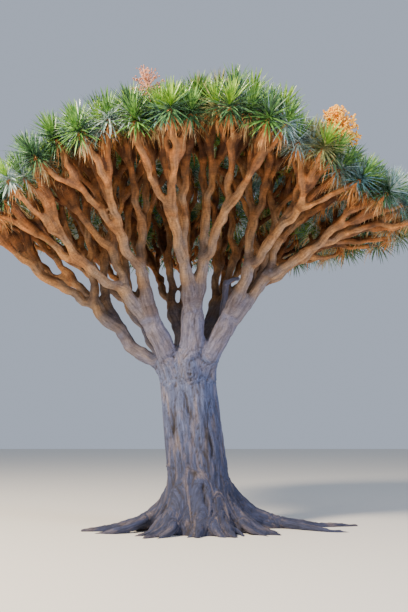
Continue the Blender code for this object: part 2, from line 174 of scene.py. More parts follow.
# The long cracks in the trunk's front: plan X and height where each one starts and ends.
CRACKS = (
    (-0.35, 2.22, -0.19, 1.70),
    (-0.01, 0.78, 0.01, 0.40),
    (-0.52, 1.95, -0.47, 1.35),
    (0.10, 1.55, 0.13, 1.05),
)
CRACK_WIDTH = 0.017
CRACK_DEPTH = 0.040

# Side roots: where along a surface root one leaves it, its turn in degrees, and its share of length.
SIDE_ROOTS = ((0.30, 34, 0.50), (0.44, -30, 0.42))

# The dead limb behind the right bough, sawn off, and its short stub: the radius of each at its foot and
# its tip, and the corners of its middle line. They count with the fourth bough.
DEAD_WOOD = (
    ("dead_limb", 0.075, 0.058,
     ((0.05, -0.02, 2.70), (0.25, -0.10, 3.20), (0.35, -0.20, 3.70), (0.37, -0.26, 4.03))),
    ("dead_stub", 0.050, 0.046, ((0.37, -0.26, 3.97), (0.46, -0.29, 4.02), (0.60, -0.32, 4.03))),
)
DEAD_WOOD_KNOTS = 24
DEAD_WOOD_AGE = (0.30, 0.36)
DEAD_WOOD_OWNER = 4

# Sword leaves: how many, their size, how many degrees they spread in the crown's middle and how many more
# at its rim, and how they droop. Then the dead ones, how many hang in the middle and at the rim.
LEAVES = 84
YOUNG_SHARE = 0.34
LEAF_LENGTH = 0.44
LEAF_WIDTH = 0.026
LEAF_SPREAD = (84, 23)
LEAF_DROOP = (0.05, 0.32)
DEAD_LEAVES = (10, 20)
DEAD_LENGTH = (0.14, 0.34)
DEAD_WIDTH = (0.013, 0.025)
DEAD_DROOP = (0.3, 0.7)

# A blade's outline: shares of its length, how wide it is at each, and how deep its crease is.
BLADE_SHARES = (0.0, 0.35, 0.72, 1.0)
BLADE_WIDTHS = (0.80, 1.0, 0.62, 0.0)
BLADE_CREASE = 0.16

# Fruiting panicles: the plan place of each, its rise over its rosette, how far its sprays reach, how many
# sprays and berries it has, their largest radius, and how far it leans in plan.
PANICLES = (
    (-0.70, -2.38, 0.51, 0.26, 34, 7, 0.013, (-0.13, 0.0, 0.0)),
    (2.10, -1.50, 0.46, 0.31, 80, 12, 0.020, (-0.17, -0.36, 0.0)),
)
STALK_RADIUS = 0.016
BRANCH_RADIUS = 0.006
TWIGLET_RADIUS = 0.003

CAMERA_PLACE = (0.0, -11.5, 1.5)
CAMERA_RISE = 10.5
CAMERA_LENS = 40.6

UP = np.array((0.0, 0.0, 1.0))
REFERENCE = np.array((0.3, 1.0, 0.2))
GOLDEN_ANGLE = math.pi * (3 - math.sqrt(5))
TRUNK_TOP = np.array((*TRUNK_LEAN, TRUNK_HEIGHT))
TRUNK_TOP_RADIUS = TRUNK_WAIST + TRUNK_SWELL


def unit(vector):
    vector = np.asarray(vector, float)
    return vector / np.linalg.norm(vector)


def around(degrees):
    """The level unit vector at this plan angle."""
    return np.array((math.cos(math.radians(degrees)), math.sin(math.radians(degrees)), 0.0))


def sides_of(axis):
    """Two unit vectors square to the axis and to each other."""
    side = unit(np.cross(axis, REFERENCE))
    return side, np.cross(axis, side)


def dome_height(x, y):
    height = CROWN_TOP - CROWN_FALL[0] * (x - APEX[0]) ** 2 - CROWN_FALL[1] * (y - APEX[1]) ** 2
    for swell_x, swell_y, rise, spread in SWELLS:
        height = height + rise * np.exp(-((x - swell_x) ** 2 + (y - swell_y) ** 2) / (2 * spread**2))
    return height


def sown(count, rng):
    """Points spread evenly over the crown like the seeds of a sunflower, each a little astray."""
    order = np.arange(count)
    radius = np.sqrt((order + 0.5) / count)
    angle = order * GOLDEN_ANGLE
    x = CROWN_MIDDLE[0] + CROWN_REACH[0] * radius * np.cos(angle)
    y = CROWN_MIDDLE[1] + CROWN_REACH[1] * radius * np.sin(angle)
    points = np.column_stack((x, y, dome_height(x, y)))
    return points + rng.uniform(-ROSETTE_JITTER, ROSETTE_JITTER, points.shape)


def fine_points(hearts):
    """The rosettes themselves, sown closer than the hearts of the sprays, each given to its nearest heart."""
    points = sown(FINE_ROSETTES, np.random.default_rng([SEED, 3]))
    away = np.linalg.norm(points[:, None] - hearts[None], axis=2)
    return points, np.argmin(away, axis=1)


def rosette_axis(point):
    """Which way a rosette points: straight up in the middle, leaning out at the rim."""
    outward = np.array((*(point[:2] - CROWN_MIDDLE) / CROWN_REACH, 0.0))
    return unit(UP + RIM_LEAN * np.linalg.norm(outward) * outward)


class Limb:
    """One tapering limb between two forks, and the convex space that it and all that it carries keep to."""

    def __init__(self, name, level, members, start, heading, end, aim, thickness, foot, space):
        self.name = name
        self.level = level
        self.members = members
        self.start = start
        self.heading = heading
        self.end = end
        self.aim = aim
        self.thickness = thickness
        self.foot = foot
        self.space = space
        self.parent = None
        self.sag = 0.0
        bends = np.random.default_rng([SEED, *name.encode()])
        across = unit(np.cross(end - start, bends.normal(size=3)))
        self.bend = across * BEND * bends.uniform(-1, 1) * np.linalg.norm(end - start)
        self.phase = bends.uniform()

    def at(self, share):
        """The middle line: leaves along heading, arrives along aim, with a slight bend between."""
        t = np.asarray(share, float)[:, None]
        reach = CURVE_REACH * np.linalg.norm(self.end - self.start)
        line = (2 * t**3 - 3 * t**2 + 1) * self.start + (3 * t**2 - 2 * t**3) * self.end
        line += (t**3 - 2 * t**2 + t) * reach * self.heading + (t**3 - t**2) * reach * self.aim
        return line + np.sin(2 * math.pi * t) * self.bend

    def radius(self, share):
        """Thick at the foot, where it leaves the fork, then a slow taper."""
        t = np.asarray(share, float)
        length = np.linalg.norm(self.end - self.start)
        body = self.thickness * (1 - TAPER * t)
        return body + (self.foot - self.thickness) * np.exp(-t * length / (FOOT_SWELL * self.foot))

    def tip_radius(self):
        return float(self.radius([1.0])[0])


def inner_side(place, normal, point):
    """The half space bounded by this plane that holds the point."""
    return place, normal if (point - place) @ normal > 0 else -normal


def main_boughs(rosettes):
    """The boughs round the trunk's top, each with the rosettes of its sector of the crown."""
    turns = np.array([bough[1] for bough in BOUGHS]) % 360
    plan = rosettes[:, :2] - TRUNK_TOP[:2]
    angle = np.degrees(np.arctan2(plan[:, 1], plan[:, 0])) % 360
    boughs = []
    for name, degrees, reach, height, thickness, sag in BOUGHS:
        ahead = (turns - degrees) % 360
        bounds = degrees + min(ahead[ahead > 0]) / 2, degrees - min(360 - ahead[ahead > 0]) / 2
        members = np.flatnonzero((angle - bounds[1]) % 360 < bounds[0] - bounds[1])
        out = around(degrees)
        foot = BOUGH_FOOT * thickness
        start = TRUNK_TOP + (TRUNK_TOP_RADIUS - foot - BOUGH_SET_IN) * out
        end = np.array((*(TRUNK_TOP + reach * out)[:2], height))
        goal = rosettes[members].mean(axis=0)
        heading = unit(UP + BOUGH_FOOT_TILT * out)
        aim = unit(BOUGH_STRAIGHTNESS * unit(end - start) + (1 - BOUGH_STRAIGHTNESS) * unit(goal - end))
        walls = [inner_side(TRUNK_TOP, around(bound + 90), start) for bound in bounds]
        space = [(TRUNK_TOP + GAP / 2 * UP, UP), *walls]
        bough = Limb("bough_" + name, 1, members, start, heading, end, aim, thickness, foot, space)
        bough.sag = sag
        boughs.append(bough)
    return boughs


def fork(parent, rosettes):
    """The two limbs that grow on from the parent's end. A plane through that end divides its rosettes:
    a bough's side by side, and any other limb's across their longer way in plan."""
    points = rosettes[parent.members]
    if parent.level == 1:
        across = unit(np.cross(UP, parent.end - TRUNK_TOP))
    else:
        across = np.array((*np.linalg.svd(points[:, :2] - points[:, :2].mean(axis=0))[2][0], 0.0))
    across = across * (1 if across @ points.mean(axis=0) > 0 else -1)
    angle = np.arctan2((points - parent.end) @ across, (points - parent.end) @ UP)
    parts = np.array_split(np.argsort(angle), 2)
    tilt = (angle[parts[0][-1]] + angle[parts[1][0]]) / 2
    divide = math.cos(tilt) * across - math.sin(tilt) * UP
    tip_cut = (parent.end + GAP / 2 * parent.aim, parent.aim)
    level = parent.level + 1
    children = []
    for number, part in enumerate(parts):
        name = f"{parent.name.replace('bough', 'limb')}_{number + 1}"
        rng = np.random.default_rng([SEED, *name.encode()])
        goal = points[part].mean(axis=0)
        way = goal - parent.end
        share = SHARES[level] * (1 + rng.uniform(-SHARE_VARIES, SHARE_VARIES))
        end = parent.end + share * way - UP * parent.sag * share * (1 - share) * math.hypot(way[0], way[1])
        aim = unit(unit(goal - end) + UPWARD_PULL * UP)
        space = [tip_cut, *parent.space[1:], (parent.end, divide if number else -divide)]
        members = parent.members[part]
        heading = unit(parent.aim + FORK_SPREAD * (unit(way) - parent.aim))
        child = Limb(name, level, members, parent.end, heading, end, aim, THICKNESS[level],
                     parent.tip_radius(), space)
        child.parent = parent
        child.sag = parent.sag
        children.append(child)
    return children


def kept_in(point, space, margin):
    """The point, moved as little as it takes to lie this far inside every wall of the space."""
    for _ in range(PUSHES):
        for place, normal in space:
            point = point + max(margin - (point - place) @ normal, 0) * normal
    return point


def grow(carrier, hearts, fine, mass, limbs, sprays):
    """All that the carrier bears: limbs that fork down to one shoot for each spray of rosettes."""
    for shoot in fork(carrier, hearts):
        if shoot.level == 3:
            mass = shoot
            mass.name = mass.name.replace("limb", "foliage")
        if len(shoot.members) > 1:
            limbs.append(shoot)
            grow(shoot, hearts, fine, mass, limbs, sprays)
        else:
            last_shoot(shoot, hearts, fine, mass, limbs, sprays)


def last_shoot(shoot, hearts, fine, mass, limbs, sprays):
    """A shoot that forks once more, into twigs that each end in a rosette of their own."""
    i = shoot.members[0]
    heart = kept_in(hearts[i], mass.space, HEART_CLEARANCE)
    way = heart - shoot.start
    rng = np.random.default_rng([SEED, 500 + i])
    knee = shoot.start + KNEE * way - UP * KNEE_SAG * math.hypot(way[0], way[1])
    arm = Limb(f"shoot_{i}", shoot.level, shoot.members, shoot.start, shoot.heading, knee,
               unit(heart - knee), SHOOT_THICKNESS, shoot.foot, mass.space)
    arm.parent = shoot.parent
    limbs.append(arm)
    points, owners = fine
    for k in np.flatnonzero(owners == i):
        tip = kept_in(points[k] - rng.uniform(0.0, 0.12) * UP, mass.space, 0.6 * HEART_CLEARANCE)
        lean = unit(unit(tip - knee) + rosette_axis(tip))
        heading = unit(arm.aim + 0.8 * unit(tip - knee))
        twig = Limb(f"twig_{k}", TWIG_LEVEL, shoot.members, knee, heading, tip, lean, TWIG_THICKNESS,
                    arm.tip_radius(), mass.space)
        twig.parent = arm
        limbs.append(twig)
        sprays.append({"heart": i, "mass": mass.name, "tip": tip, "axis": lean, "rng": rng})


def trunk_radius(height):
    flare = TRUNK_FLARE * np.exp(-height / TRUNK_FLARE_HEIGHT)
    return TRUNK_WAIST + flare + TRUNK_SWELL * (height / TRUNK_HEIGHT) ** 4


def trunk_middle(height):
    """The middle of the leaning trunk at each height."""
    return np.outer(height, TRUNK_TOP / TRUNK_HEIGHT)


def root_line(i, degrees, reach, stoutness):
    """Middle line and radii of a surface root: a ridge that springs from the trunk and sinks."""
    rng = np.random.default_rng([SEED, 100 + i])
    out, side = around(degrees), around(degrees + 90)
    t = np.linspace(0, 1, ROOT_KNOTS)
    run = (reach - ROOT_SPRING) * t
    height = ROOT_SPRING_HEIGHT * np.exp(-run / ROOT_SINK) * (1 - t)
    sway = ROOT_SWAY * reach * rng.uniform(-1, 1) * np.sin(rng.uniform(*ROOT_WAVES) * t)
    points = (ROOT_SPRING + run)[:, None] * out + sway[:, None] * side + trunk_middle(height)
    swell = (ROOT_SPRING_RADIUS * stoutness - ROOT_TIP) * np.exp(-run / ROOT_THINNING) * (1 - t)
    return points, ROOT_TIP + swell


class Grain:
    """The wood's grain: points along every limb's middle, with the frame that the bark follows there."""

    def __init__(self):
        self.rows = {key: [] for key in ("point", "ahead", "side", "along", "radius", "age", "owner", "limb")}
        self.ends = {}

    def add(self, name, owner, points, radii, ages, parent=None):
        ahead = np.gradient(points, axis=0)
        ahead /= np.linalg.norm(ahead, axis=1)[:, None]
        side, start = self.ends.get(parent, (REFERENCE, 0.0))
        run = start + np.concatenate(([0], np.cumsum(np.linalg.norm(np.diff(points, axis=0), axis=1))))
        for i in range(len(points)):
            side = unit(side - (side @ ahead[i]) * ahead[i])
            row = (points[i], ahead[i], side, run[i], radii[i], ages[i], owner, len(self.ends))
            for key, value in zip(self.rows, row):
                self.rows[key].append(value)
        self.ends[name] = (side, run[-1])

    def settle(self):
        for key, values in self.rows.items():
            setattr(self, key, np.array(values))
        self.air = np.ones(len(self.point))

    def look_round(self, points, faces):
        """How open the air round each point is: the share of level and falling ways that meet no limb."""
        tree = bvhtree.BVHTree.FromPolygons(points.tolist(), faces.tolist())
        order = np.arange(AIR_WAYS)
        drop = 0.25 - 0.95 * (order + 0.5) / AIR_WAYS
        level = np.sqrt(1 - drop**2)
        turn = order * GOLDEN_ANGLE
        ways = np.column_stack((level * np.cos(turn), level * np.sin(turn), drop))
        for i in np.flatnonzero(self.limb > 0):
            starts = self.point[i] + (1.8 * self.radius[i] + 0.02) * ways
            met = [tree.ray_cast(start, way, AIR_REACH)[0] is not None for start, way in zip(starts, ways)]
            self.air[i] = 1 - np.mean(met) * min(1.0, max(0.0, (self.age[i] - 0.30) / 0.20))

    def follow(self, points):
        """The grain at each point of the bark: its place in the straightened wood, its age, how stout
        the limb is there, how open the air is, and which bough it is on. Between two limbs it passes
        smoothly over."""
        trunk = np.flatnonzero(self.limb == 0)
        others = np.flatnonzero(self.limb > 0)
        tree = kdtree.KDTree(len(others))
        for i in others:
            tree.insert(self.point[i], int(i))
        tree.balance()
        hits = np.array([[hit[1] for hit in tree.find_n(point, 14)] for point in points])
        level = np.clip(np.searchsorted(self.point[trunk, 2], points[:, 2]), 0, len(trunk) - 1)
        hits = np.column_stack((hits, trunk[level]))
        depth = np.linalg.norm(points[:, None] - self.point[hits], axis=2) / self.radius[hits]
        limb = self.limb[hits]
        each = np.arange(len(points))
        best = np.argmin(depth, axis=1)
        first = hits[each, best]
        nearest = depth[each, best]
        depth[limb == limb[each, best][:, None]] = 1e6
        next_best = np.argmin(depth, axis=1)
        second = hits[each, next_best]
        lead = np.clip((depth[each, next_best] - nearest) / 0.35, 0, 1)
        share = 0.5 - 0.5 * lead * lead * (3 - 2 * lead)

        def blend(of_row):
            a, b = of_row(first), of_row(second)
            weight = share[:, None] if a.ndim > 1 else share
            return a + weight * (b - a)

        def straightened(row):
            offset = points - self.point[row]
            side, ahead = self.side[row], self.ahead[row]
            third = np.cross(ahead, side)
            run = self.along[row] + (offset * ahead).sum(axis=1)
            return np.column_stack(((offset * side).sum(axis=1), (offset * third).sum(axis=1), run))

        return (blend(straightened), blend(lambda row: self.age[row]), blend(lambda row: self.radius[row]),
                blend(lambda row: self.air[row]), self.owner[first])


# How far the bark has weathered, from 0 at the trunk's foot to 1 under the leaves.
AGE_AT_END = {1: 0.42, 2: 0.58, 3: 0.70, 4: 0.79, 5: 0.85, 6: 0.88, 7: 1.0}
AGE_AT_TRUNK_TOP = 0.22


def swelling(limb, share):
    """How much thicker than its plain taper the limb is: soft swellings, and a knuckle at its end."""
    length = np.linalg.norm(limb.end - limb.start)
    run = share * length
    depth = SWELL_DEPTH * min(1.0, (0.07 / limb.thickness) ** 1.5)
    waves = 1 + depth * np.sin(2 * math.pi * (run / SWELL_EVERY + limb.phase))
    waves += depth * np.sin(2 * math.pi * (0.61 * run / SWELL_EVERY + 3 * limb.phase))
    knuckle = KNUCKLE * min(1.0, 0.08 / limb.thickness)
    return waves + knuckle * np.exp(-((length - run) / (1.3 * limb.thickness)) ** 2)


def crooks(limb, share):
    """How far the limb sways off its plain line between its ends."""
    length = np.linalg.norm(limb.end - limb.start)
    side, other = sides_of(unit(limb.end - limb.start))
    depth = CROOK[limb.level] * min(1.0, length / 0.7) * np.sin(math.pi * share)
    turn = 2 * math.pi * (share * length / CROOK_EVERY + limb.phase)
    sway = np.sin(turn) + 0.5 * np.sin(2.3 * turn)
    return (depth * sway)[:, None] * side + (depth * np.cos(0.8 * turn))[:, None] * other


def add_tube(curve, points, radii):
    spline = curve.splines.new("POLY")
    spline.points.add(len(points) - 1)
    spline.points.foreach_set("co", np.column_stack((points, np.ones(len(points)))).ravel())
    spline.points.foreach_set("radius", radii)


def limb_tubes(limbs, grain):
    """Every bough, limb and twig as a round tube, and the grain along it."""
    curve = bpy.data.curves.new("limbs", "CURVE")
    curve.dimensions = "3D"
    curve.bevel_depth = 1.0
    curve.bevel_resolution = 4
    curve.use_fill_caps = True
    order = sorted(limbs, key=lambda limb: limb.level)
    for limb in order:
        length = np.linalg.norm(limb.end - limb.start)
        share = np.linspace(0, 1, max(8, int(length / SAMPLE_EVERY)))
        points = limb.at(share) + crooks(limb, share)
        radii = limb.radius(share) * swelling(limb, share)
        if limb.level == TWIG_LEVEL:
            radii = radii * (1 - 0.45 * share**4)
        first = AGE_AT_END[limb.parent.level] if limb.parent else AGE_AT_TRUNK_TOP
        ages = first + (AGE_AT_END[limb.level] - first) * share
        grain.add(limb.name, limb.owner, points, radii, ages, limb.parent.name if limb.parent else "trunk")
        lost = SOFTENING_LOSS * VOXEL**2 / radii
        if limb.level == 1:
            low, low_radii = bough_root(limb)
            points = np.vstack((low, points))
            lost = np.concatenate((np.zeros(len(low)), lost))
            radii = np.concatenate((low_radii, radii))
        add_tube(curve, points, radii + lost)
    return curve


def bough_root(bough):
    """A bough's foot carried down the side of the trunk, where it slowly sinks into it."""
    height = np.linspace(TRUNK_HEIGHT - BOUGH_ROOT, TRUNK_HEIGHT - 0.02, 24)
    below = (TRUNK_HEIGHT - height) / BOUGH_ROOT
    out = unit((bough.start - TRUNK_TOP) * (1, 1, 0))
    away = np.linalg.norm(bough.start - TRUNK_TOP) - BOUGH_SINK * below**1.5
    return trunk_middle(height) + away[:, None] * out, bough.foot * (1 - 0.25 * below)


def closed_loft(rings):
    """A closed mesh through rings of corners, each ring a row of points."""
    count, sides = rings.shape[:2]
    points = rings.reshape(-1, 3)
    corner = np.arange(sides)
    faces = []
    for i in range(count - 1):
        low, high = i * sides + corner, (i + 1) * sides + corner
        faces.extend(np.column_stack((low, np.roll(low, -1), np.roll(high, -1), high)).tolist())
    faces.append(corner[::-1].tolist())
    faces.append(((count - 1) * sides + corner).tolist())
    mesh = bpy.data.meshes.new("loft")
    mesh.from_pydata(points.tolist(), [], faces)
    return mesh


def trunk_loft(grain):
    """The trunk's round body with its folds, from just under the ground to inside the boughs' feet."""
    height = np.linspace(-0.06, TRUNK_HEIGHT + 0.10, TRUNK_RINGS)
    turn = 2 * math.pi * np.arange(TRUNK_SIDES) / TRUNK_SIDES
    middle = trunk_middle(height)
    radius = trunk_radius(np.clip(height, 0, TRUNK_HEIGHT))
    shoulder = np.clip((height - TRUNK_HEIGHT + 0.9) / 0.9, 0, 1.2)
    inside = radius - SHOULDER * shoulder**2
    over = np.clip((height - TRUNK_HEIGHT) / 0.10, 0, 1)
    inside = inside * (1 - 0.30 * over**2)
    fold = np.zeros((TRUNK_RINGS, TRUNK_SIDES))
    for number, depth, twist in TRUNK_FOLDS:
        fold += depth * np.cos(number * turn[None, :] + twist * height[:, None])
    spokes = np.column_stack((np.cos(turn), np.sin(turn), np.zeros(TRUNK_SIDES)))
    rings = middle[:, None] + (inside[:, None] * (1 + fold))[:, :, None] * spokes
    kept = height < TRUNK_HEIGHT + 0.03
    ages = AGE_AT_TRUNK_TOP * np.clip(height / TRUNK_HEIGHT, 0, 1)
    grain.add("trunk", 0, middle[kept], radius[kept], ages[kept])
    return closed_loft(rings)


def root_tubes(curve, grain):
    """The surface roots, each with two smaller ones that leave it part way and sink sooner."""
    for i, root in enumerate(ROOTS):
        points, radii = root_line(i, *root)
        add_tube(curve, points, radii)
        grain.add(f"root_{i}", 0, points, radii, np.linspace(0.08, 0.0, len(points)))
        ahead = np.gradient(points, axis=0)
        for j, (place, turn, length) in enumerate(SIDE_ROOTS):
            k = int(place * len(points))
            bend = math.radians(turn if i % 2 else -turn)
            way = unit(ahead[k] * (1, 1, 0))
            side = np.array((-way[1], way[0], 0.0))
            t = np.linspace(0, 1, 20)
            run = length * root[1] * t
            spread = math.tan(bend) * run * (1 - 0.35 * t) + 0.05 * root[1] * np.sin(5.5 * t + i + 2 * j)
            branch = points[k] + run[:, None] * way + spread[:, None] * side
            branch[:, 2] = points[k][2] * (1 - t) ** 1.4 - 0.02 * t
            thin = radii[k] * (0.62 - 0.45 * t) + 0.006
            add_tube(curve, branch, thin)
            grain.add(f"root_{i}_{j}", 0, branch, thin, np.full(len(branch), 0.04), f"root_{i}")


def dead_limb_tubes(curve, grain):
    """The dead limb that was sawn off, and the stub that still sticks out sideways from it."""
    for name, foot, tip, corners in DEAD_WOOD:
        place = np.linspace(0, len(corners) - 1, DEAD_WOOD_KNOTS)
        points = np.column_stack([np.interp(place, range(len(corners)), line) for line in zip(*corners)])
        radii = np.linspace(foot, tip, DEAD_WOOD_KNOTS)
        add_tube(curve, points, radii)
        grain.add(name, DEAD_WOOD_OWNER, points, radii, np.linspace(*DEAD_WOOD_AGE, DEAD_WOOD_KNOTS))


def islands(count, links):
    """For each of so many things, the lowest number in the island that the links join it to."""
    label = np.arange(count)
    while True:
        first, second = label[links[:, 0]], label[links[:, 1]]
        if (first == second).all():
            return label
        low = np.minimum(first, second)
        np.minimum.at(label, first, low)
        np.minimum.at(label, second, low)
        while (label[label] != label).any():
            label = label[label]


def without_scraps(points, faces, edges):
    """The skin without loose scraps of fewer than SCRAP points."""
    label = islands(len(points), edges)
    kept = np.bincount(label, minlength=len(points))[label] >= SCRAP
    number = np.cumsum(kept) - 1
    return points[kept], number[faces[kept[faces[:, 0]]]], number[edges[kept[edges[:, 0]]]]


def whole_pieces(owner, faces, count):
    """The piece of each face, with islands of fewer than SCRAP faces given to a piece that they touch."""
    for number in range(len(BOUGHS) + 1):
        own = np.flatnonzero(owner == number)
        sides = np.sort(np.concatenate([faces[own][:, (k, (k + 1) % 4)] for k in range(4)]), axis=1)
        side = np.unique(sides[:, 0] * count + sides[:, 1], return_inverse=True)[1]
        links = np.stack((np.tile(np.arange(len(own)), 4), len(own) + side), axis=1)
        island = islands(len(own) + side.max() + 1, links)[:len(own)]
        small = np.bincount(island)[island] < SCRAP
        touched = np.full(count, -1)
        touched[faces[owner != number]] = owner[owner != number][:, None]
        near = np.full(len(own), -1)
        np.maximum.at(near, island[small], touched[faces[own[small]]].max(axis=1))
        owner[own[small]] = near[island[small]]
    return owner


def add_object(name, data):
    made = bpy.data.objects.new(name, data)
    bpy.context.scene.collection.objects.link(made)
    return made


def finished_mesh(made):
    """The object's mesh with its modifiers done. The object itself goes."""
    bpy.context.view_layer.update()
    graph = bpy.context.evaluated_depsgraph_get()
    mesh = bpy.data.meshes.new_from_object(made.evaluated_get(graph))
    bpy.data.objects.remove(made)
    return mesh


def mesh_rows(items, field, each, width, kind):
    """One field of a mesh's items as an array, so wide, where each item holds so many numbers."""
    values = np.empty(len(items) * each, kind)
    items.foreach_get(field, values)
    return values.reshape(-1, width)


def remeshed(curve, loft):
    """The tubes and the trunk as one skin, with its crotches closed."""
    tubes = finished_mesh(add_object("limbs", curve))
    count = len(tubes.vertices)
    points = [vertex.co[:] for vertex in tubes.vertices] + [vertex.co[:] for vertex in loft.vertices]
    faces = [polygon.vertices[:] for polygon in tubes.polygons]
    faces += [[count + k for k in polygon.vertices] for polygon in loft.polygons]
    both = bpy.data.meshes.new("skin")
    both.from_pydata(points, [], faces)
    skin = add_object("skin", both)
    remesh = skin.modifiers.new("remesh", "REMESH")
    remesh.mode = "VOXEL"
    remesh.voxel_size = VOXEL
    mesh = finished_mesh(skin)
    return without_scraps(mesh_rows(mesh.vertices, "co", 3, 3, float),
                          mesh_rows(mesh.loops, "vertex_index", 1, 4, int),
                          mesh_rows(mesh.edges, "vertices", 2, 2, int))


def soften(points, edges, weights):
    """Draws every point towards its neighbours, once for each row of weights."""
    count = np.bincount(edges.ravel(), minlength=len(points))
    for weight in weights:
        middle = np.empty_like(points)
        for axis in range(3):
            values = points[:, axis]
            total = np.bincount(edges[:, 0], values[edges[:, 1]], len(points))
            total += np.bincount(edges[:, 1], values[edges[:, 0]], len(points))
            middle[:, axis] = total / count
        points = points + (0.5 * weight)[:, None] * (middle - points)
    return points


def vertex_normals(points, faces):
    corner = points[faces]
    flat = np.cross(corner[:, 2] - corner[:, 0], corner[:, 3] - corner[:, 1])
    normals = np.zeros_like(points)
    for k in range(4):
        for axis in range(3):
            normals[:, axis] += np.bincount(faces[:, k], flat[:, axis], len(points))
    return normals / np.linalg.norm(normals, axis=1)[:, None]


def bark_relief(points, grain_at, radius):
    """How far the bark stands out, and how deep in a furrow it lies: long folds, furrows and flaking
    plates on the trunk, soft lumps on the limbs, rings round the knot and a few long cracks."""
    relief = np.empty(len(grain_at))
    crease = np.empty(len(grain_at))
    for k, (x, y, z) in enumerate(grain_at):
        stout = min(1.0, radius[k] / 0.30)
        depth = 0.10 + 0.90 * stout**1.5
        fold = noise.noise((4 * x, 4 * y, 0.6 * z))
        furrow = abs(noise.noise((9 * x, 9 * y, 1.1 * z + 7)))
        flake = abs(noise.noise((21 * x, 21 * y, 3.4 * z + 3)))
        lump = noise.noise((9 * x, 9 * y, 5 * z + 11))
        plates = 0.058 * min(furrow, 0.30) + 0.034 * min(flake, 0.25) - 0.016
        relief[k] = stout * 0.034 * fold + depth * plates
        knob = noise.noise((17 * x, 17 * y, 13 * z + 5))
        relief[k] += (1 - stout) * min(radius[k], 0.10) * (0.36 * lump + 0.16 * knob)
        crease[k] = depth * max(0.0, 1 - furrow / 0.08) * 0.9 + depth * max(0.0, 1 - flake / 0.06) * 0.5
    front = (points[:, 1] < -0.1) & (np.abs(points[:, 0] + 0.1) < 0.75)
    across, up = points[:, 0], points[:, 2]
    away = np.hypot(across - KNOT[0], 1.15 * (up - KNOT[1]))
    near = np.where(front, np.exp(-(away / KNOT_SIZE) ** 2), 0)
    relief += near * (0.035 + 0.012 * np.cos(2 * math.pi * away / KNOT_RING))
    crease += 0.8 * near * np.clip(-np.cos(2 * math.pi * away / KNOT_RING), 0, 1)
    for x_top, top, x_foot, foot in CRACKS:
        share = np.clip((top - up) / (top - foot), 0, 1)
        off = np.abs(across - (x_top + share * (x_foot - x_top)) - 0.012 * np.sin(16 * up))
        length = np.clip(4 * share, 0, 1) * np.clip(4 * (1 - share), 0, 1)
        gap = np.where(front, np.exp(-(off / CRACK_WIDTH) ** 2), 0) * length
        relief -= CRACK_DEPTH * gap
        crease += gap
    return relief, np.clip(crease, 0, 1)


def hex_colour(code):
    """A colour's sRGB hex value as linear light."""
    parts = [int(code[i:i + 2], 16) / 255 for i in (1, 3, 5)]
    return (*[c / 12.92 if c <= 0.04045 else ((c + 0.055) / 1.055) ** 2.4 for c in parts], 1.0)


def add_node(material, kind, inputs, ramp=(), **settings):
    """Adds a node with its settings. An input is a value, or the socket that feeds it. A ramp's tones come
    in order, each a hex value or a share of red, green and blue."""
    made = material.node_tree.nodes.new("ShaderNode" + kind)
    for name, value in settings.items():
        setattr(made, name, value)
    for k, (place, colour) in enumerate((*ramp[:1], *ramp[-1:], *ramp[1:-1])):
        elements = made.color_ramp.elements
        element = elements[k] if k < 2 else elements.new(place)
        element.position = place
        element.color = hex_colour(colour) if isinstance(colour, str) else (*colour, 1.0)
    for key, value in inputs.items():
        if isinstance(value, bpy.types.NodeSocket):
            material.node_tree.links.new(value, made.inputs[key])
        else:
            made.inputs[key].default_value = value
    return made


def new_material(name, roughness, ior):
    material = bpy.data.materials.new(name)
    material.use_nodes = True
    shader = material.node_tree.nodes["Principled BSDF"]
    shader.inputs["Roughness"].default_value = roughness
    shader.inputs["IOR"].default_value = ior
    return material, shader


